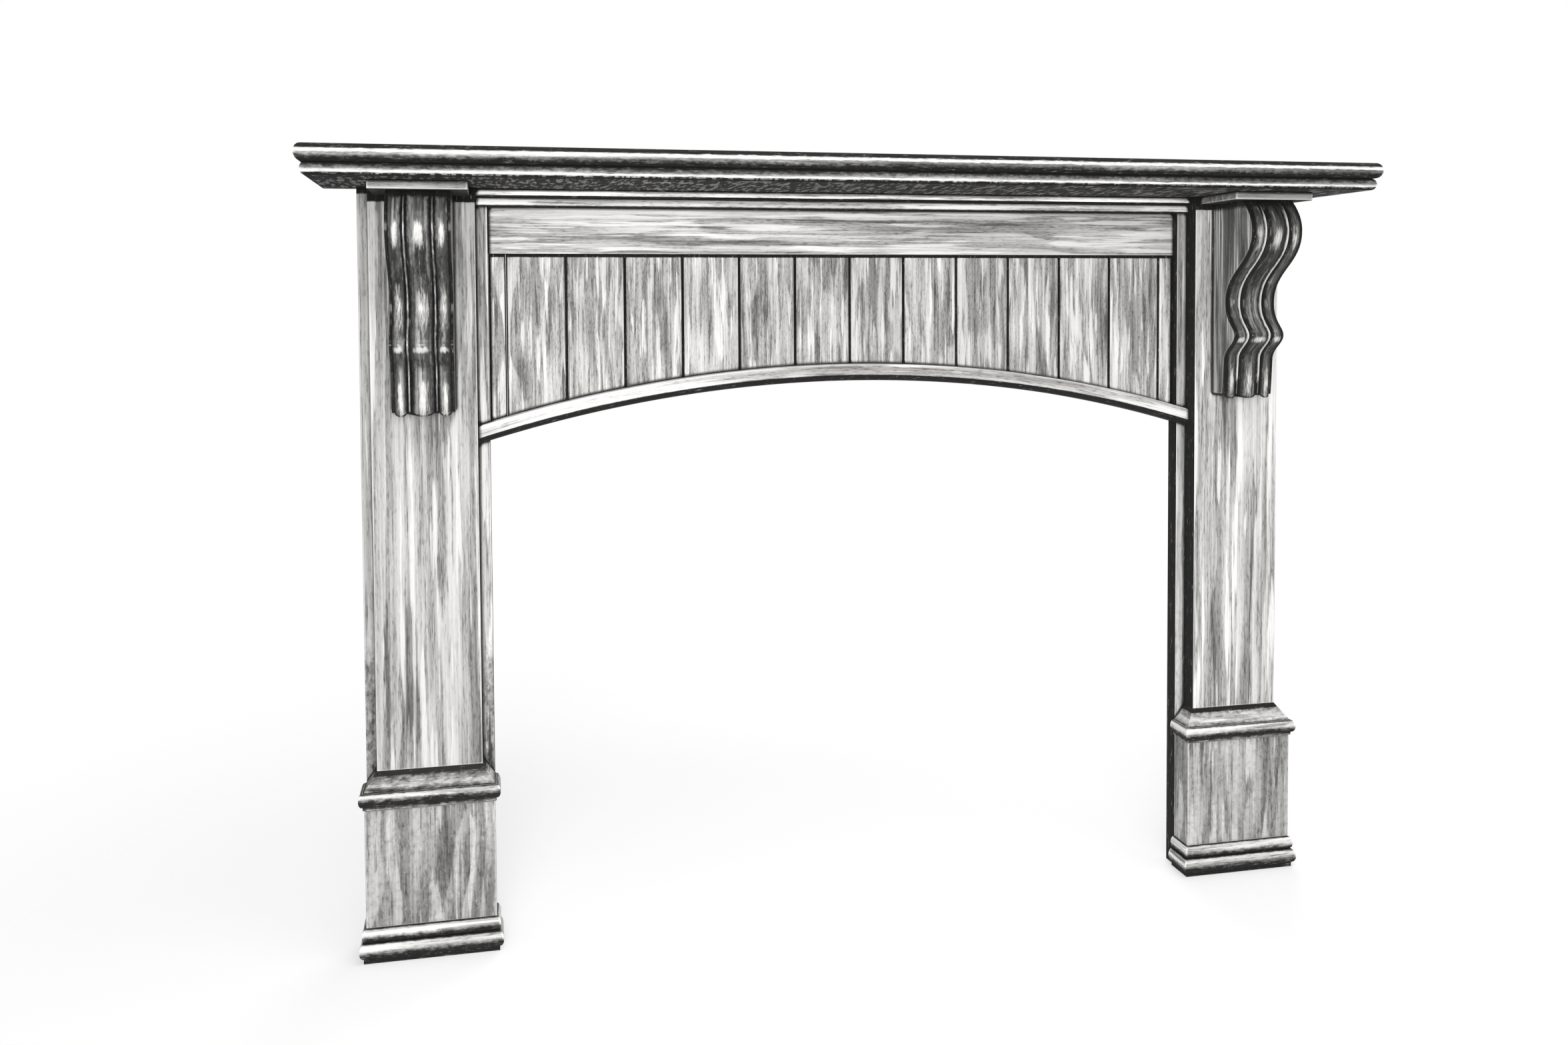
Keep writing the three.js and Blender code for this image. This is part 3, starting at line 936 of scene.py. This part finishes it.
def ragged(tree, marked, millimetres, size, stray):
    """Gives a marked place an uneven edge, on painted shade and dirt and on painted highlights
    alike.
    """
    uneven = figure(tree, millimetres, size, FINE_DETAIL, RAGGED_ROUGHNESS)["Fac"]
    uneven = add(tree, "Math", (uneven, stray, -stray / 2), operation="MULTIPLY_ADD")[0]
    uneven = add(tree, "Math", (marked, uneven), operation="ADD")[0]
    return add(tree, "MapRange", (uneven, *RAGGED_EDGE), **SOFTLY)[0]


def painted_shade_and_dirt(tree, millimetres, shade_below):
    """Painted shade and dirt: painted shade in joints and corners and on faces that look down,
    and what is marked, which is mostly painted shade with some dirt.
    """
    marked = add(tree, "Attribute", attribute_name="shade_and_dirt_mark")["Fac"]
    normal = add(tree, "NewGeometry")["Normal"]
    upward = add(tree, "SeparateXYZ", (normal,))["Z"]
    down = add(tree, "MapRange", (upward, *FACES_DOWN, 1.0, 0.0), **SOFTLY)[0]
    patches = figure(tree, millimetres, SHADE_PATCH)["Fac"]
    patches = add(tree, "MapRange", (patches, *SHADE_PATCH_EDGE, *shade_below), **SOFTLY)[0]
    down = add(tree, "Math", (down, patches), operation="MULTIPLY")[0]
    shade_marked = add(tree, "Math", (marked, down), operation="MAXIMUM")[0]
    shade_marked = ragged(tree, shade_marked, millimetres, SMUDGE, SMUDGE_STRAY)
    # Ambient occlusion darkens joints and corners: painted shade.
    openness = add(tree, "AmbientOcclusion", {"Distance": JOINT_REACH * MM},
                   samples=OPENNESS_SAMPLES)["AO"]
    joint = add(tree, "MapRange", (openness, *JOINT_OPENNESS, 1.0, 0.0), **SOFTLY)[0]
    return add(tree, "Math", (shade_marked, joint), operation="MAXIMUM")[0]


def worn_and_highlit_arris(tree, arris_wear_and_highlight):
    """Where an arris is worn pale and carries a painted highlight: where little of the piece
    itself is close inside.
    """
    openness = add(tree, "AmbientOcclusion", {"Distance": ARRIS_REACH * MM},
                   samples=OPENNESS_SAMPLES, inside=True, only_local=True)["AO"]
    return add(tree, "MapRange", (openness, *ARRIS_OPENNESS, arris_wear_and_highlight, 0.0), **SOFTLY)[0]


def painted_highlights(tree, millimetres):
    """Painted highlights on the crests of reeds and noses, where gloss would catch the light."""
    marked = add(tree, "Attribute", attribute_name="painted_highlight")["Fac"]
    return ragged(tree, marked, millimetres, HIGHLIGHT_RAG, HIGHLIGHT_STRAY)


def bare_wood(tree, dark, pore, tones, dirt_and_shade):
    """The wood's colour before wear: its tones from light to dark, with its pores filled."""
    colour = add(tree, "ValToRGB", (dark,))["Color"]
    keys = colour.node.color_ramp.elements
    while len(keys) < len(tones):
        keys.new(position=1.0)
    for key, (place, tone) in zip(keys, tones):
        key.position = place
        key.color = linear(tone)
    own = add(tree, "Attribute", attribute_name="tone")["Fac"]
    colour = add(tree, "VectorMath", {0: colour, "Scale": own}, operation="SCALE")[0]
    filled = add(tree, "Math", (pore, PORE_FILLING), operation="MULTIPLY")[0]
    return add(tree, "MixRGB", (filled, colour, linear(dirt_and_shade)))[0]


def oak(name, tones, pale_wear_and_highlight, arris_wear_and_highlight, dirt_and_shade, shade_below, gloss, coat, relief):
    """Oak with the given tones from light to dark, arrises worn pale with a painted highlight,
    and painted shade and dirt in its joints.

    Shade below is the least and the most painted shade that a face looking down gets.
    """
    material = bpy.data.materials.new(name)
    material.use_nodes = True
    tree = material.node_tree
    shader = tree.nodes["Principled BSDF"]
    millimetres, dark, pore = grain_of_oak(tree)
    colour = bare_wood(tree, dark, pore, tones, dirt_and_shade)
    # Arrises worn pale, with a painted highlight on them.
    colour = add(tree, "MixRGB", (worn_and_highlit_arris(tree, arris_wear_and_highlight), colour, linear(pale_wear_and_highlight)))[0]
    shade_and_dirt = painted_shade_and_dirt(tree, millimetres, shade_below)
    # Painted shade, with some dirt, darkens the colour.
    colour = add(tree, "MixRGB", (shade_and_dirt, colour, linear(dirt_and_shade)))[0]
    # Painted highlights over the rest.
    colour = add(tree, "MixRGB", (painted_highlights(tree, millimetres), colour, linear(pale_wear_and_highlight)))[0]
    rough = add(tree, "MapRange", (dark, 0.0, 1.0, gloss, gloss + DARK_WOOD_DULLER), **SOFTLY)[0]
    rough = add(tree, "Math", (shade_and_dirt, SHADE_AND_DIRT_DULLER, rough), operation="MULTIPLY_ADD",
                use_clamp=True)[0]
    height = add(tree, "Math", (dark, pore), operation="ADD")[0]
    bump = add(tree, "Bump", {"Height": height, "Strength": relief,
                              "Distance": RELIEF_DEPTH * MM}, invert=True)["Normal"]
    for socket, value in (("Base Color", colour), ("Roughness", rough), ("Normal", bump)):
        tree.links.new(value, shader.inputs[socket])
    shader.inputs["Coat Weight"].default_value = coat
    shader.inputs["Coat Roughness"].default_value = COAT_ROUGHNESS
    return material


def limed_oak_boards():
    """Planed oak, limed and greyed: pale streaks of lime in an open grey grain, almost matt."""
    return oak("limed_oak_boards",
               tones=[(0.0, "#E6E5E4"), (0.3, "#CCCBC9"), (0.6, "#A09F9D"), (1.0, "#5F5E5C")],
               pale_wear_and_highlight="#F6F5F3", arris_wear_and_highlight=0.75, dirt_and_shade="#141312", shade_below=(0.95, 0.95),
               gloss=0.5, coat=0.0, relief=0.4)


def limed_oak_mouldings():
    """Moulded oak of the same batch, rubbed smoother, with a low shine on its crests."""
    return oak("limed_oak_mouldings",
               tones=[(0.0, "#E6E5E4"), (0.35, "#CCCBC9"), (0.65, "#A3A2A0"), (1.0, "#6D6C6A")],
               pale_wear_and_highlight="#F6F5F3", arris_wear_and_highlight=0.75, dirt_and_shade="#121110", shade_below=(0.95, 0.95),
               gloss=0.32, coat=0.1, relief=0.3)


def waxed_oak_shelf():
    """Oak, greyed and waxed many times: darker and closed, with patches of painted shade below.
    """
    return oak("waxed_oak_shelf",
               tones=[(0.0, "#B8B7B5"), (0.35, "#9B9A98"), (0.65, "#7E7D7B"), (1.0, "#5A5957")],
               pale_wear_and_highlight="#F6F5F3", arris_wear_and_highlight=0.3, dirt_and_shade="#100F0E", shade_below=(0.42, 1.0),
               gloss=0.3, coat=0.0, relief=0.2)


def polished_carved_oak():
    """Carved oak, fumed dark and French polished, with gloss; painted shade makes its grooves
    near black.
    """
    return oak("polished_carved_oak",
               tones=[(0.0, "#A0A09E"), (0.35, "#5F5F5D"), (0.65, "#3B3B3A"), (1.0, "#1A1A19")],
               pale_wear_and_highlight="#DDDBD8", arris_wear_and_highlight=0.2, dirt_and_shade="#0A0A09", shade_below=(0.5, 0.5),
               gloss=0.3, coat=0.25, relief=0.6)


# Studio

def pale_floor():
    """A pale matt floor that fades into the white around it."""
    material = bpy.data.materials.new("pale_floor")
    material.use_nodes = True
    tree = material.node_tree
    shader = tree.nodes["Principled BSDF"]
    shader.inputs["Base Color"].default_value = linear(FLOOR_COLOUR)
    shader.inputs["Roughness"].default_value = FLOOR_ROUGHNESS
    place = add(tree, "TexCoord")["Object"]
    reach = add(tree, "VectorMath", (place,), operation="LENGTH")["Value"]
    fade = add(tree, "MapRange", (reach, *FLOOR_FADE, FLOOR_CLEARNESS, 1.0), **SOFTLY)[0]
    clear = add(tree, "BsdfTransparent")["BSDF"]
    faded = add(tree, "MixShader", (fade, shader.outputs["BSDF"], clear))["Shader"]
    tree.links.new(faded, tree.nodes["Material Output"].inputs["Surface"])
    bm = bmesh.new()
    bmesh.ops.create_circle(bm, cap_ends=True, segments=FLOOR_SEGMENTS, radius=FLOOR_RADIUS)
    mesh = bpy.data.meshes.new("floor")
    bm.to_mesh(mesh)
    bm.free()
    mesh.materials.append(material)
    floor = bpy.data.objects.new("floor", mesh)
    floor.location.z = -FLOOR_DROP
    bpy.context.scene.collection.objects.link(floor)
    floor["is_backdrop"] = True


def white_surroundings():
    """White to the eye, and a soft even light on the object."""
    world = bpy.data.worlds.new("white_surroundings")
    bpy.context.scene.world = world
    world.use_nodes = True
    tree = world.node_tree
    tree.nodes.clear()
    seen = add(tree, "LightPath")["Is Camera Ray"]
    light = add(tree, "Background", {"Color": WHITE, "Strength": AMBIENT})[0]
    backdrop = add(tree, "Background", {"Color": WHITE, "Strength": 1.0})[0]
    mixed = add(tree, "MixShader", (seen, light, backdrop))["Shader"]
    add(tree, "OutputWorld", {"Surface": mixed})


def softbox(name, place, target, size, power):
    """A rectangular soft light that points at a target."""
    light = bpy.data.lights.new(name, "AREA")
    light.shape = "RECTANGLE"
    light.size, light.size_y = size
    light.energy = power
    lamp = bpy.data.objects.new(name, light)
    lamp.location = place
    lamp.rotation_euler = (Vector(target) - Vector(place)).to_track_quat("-Z", "Y").to_euler()
    bpy.context.scene.collection.objects.link(lamp)


def camera():
    """The camera at the drawing's place, turned a little to the right."""
    yaw, pitch, roll = (math.radians(a) for a in (CAMERA_YAW, CAMERA_PITCH, CAMERA_ROLL))
    ahead = Vector((math.sin(yaw) * math.cos(pitch), math.cos(yaw) * math.cos(pitch),
                    math.sin(pitch)))
    right = Vector((math.cos(yaw), -math.sin(yaw), 0))
    above = right.cross(ahead)
    rolled_right = right * math.cos(roll) + above * math.sin(roll)
    rolled_above = above * math.cos(roll) - right * math.sin(roll)
    turn = Matrix((rolled_right, rolled_above, -ahead)).transposed()
    data = bpy.data.cameras.new("camera")
    data.sensor_width = SENSOR_WIDTH
    data.lens = FOCAL_PIXELS / PICTURE_WIDTH * SENSOR_WIDTH
    data.shift_y = SHIFT_PIXELS / PICTURE_WIDTH
    eye = bpy.data.objects.new("camera", data)
    eye.matrix_world = Matrix.Translation(CAMERA_PLACE) @ turn.to_4x4()
    bpy.context.scene.collection.objects.link(eye)
    bpy.context.scene.camera = eye


# The whole mantelpiece, from the shelf down to the floor and then across the frieze

ARCH_TOP = corners("arch_rib")[1].z
RIB_FRONT = corners("arch_rib")[0].y
FINISHES = {
    "oak_boards": limed_oak_boards(),
    "oak_mouldings": limed_oak_mouldings(),
    "oak_shelf": waxed_oak_shelf(),
    "oak_carving": polished_carved_oak(),
}

shelf_board("shelf_top_board", TOP_NOSE, TOP_BOARD_SHADE, TOP_BOARD_HIGHLIGHTS)
shelf_board("shelf_bed_board", BED_NOSE, BED_BOARD_SHADE, BED_BOARD_HIGHLIGHTS)
for side in SIDES:
    stile_tone = lit_towards_opening(f"{side}_stile", STILE_TONES[side])
    upright_board(f"{side}_stile", "shelf_bed_board", stile_tone, STILE_FOOT_DARKENING[side])
    base_moulding(f"{side}_base_moulding", BASE_SHADE[side], MOULDING_TONE[side])
    plinth(f"{side}_plinth", PLINTH_TONE[side])
    cap_moulding(f"{side}_cap_moulding", CAP_SHADE[side], MOULDING_TONE[side])
    upright_board(f"{side}_pilaster", f"{side}_bracket_plate", PILASTER_TONE[side])
    bracket(f"{side}_bracket", GROOVE_SHADE_REACH[side], BRACKET_HIGHLIGHTS[side], FILLET_HIGHLIGHT[side])
    level_board(f"{side}_bracket_plate", PLATE_TONE, "oak_mouldings")
strip("upper_strip", UPPER_STRIP_PAINTED_LIGHT, UPPER_STRIP_SHADE)
strip("lower_strip", LOWER_STRIP_PAINTED_LIGHT, LOWER_STRIP_SHADE)
level_board("frieze_board", FRIEZE_TONE, "oak_boards")
for i in range(PLANK_COUNT):
    plank(f"plank_{i + 1:02d}")
arch_rib("arch_rib")

pale_floor()
white_surroundings()
for name, (place, target, size, power) in SOFTBOXES.items():
    softbox(name, place, target, size, power)
camera()
bpy.context.scene.view_settings.view_transform = "Standard"

boxes = {"cad": cad_box, "visual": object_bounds()}
{name: [list(corner) for corner in box] for name, box in boxes.items()}
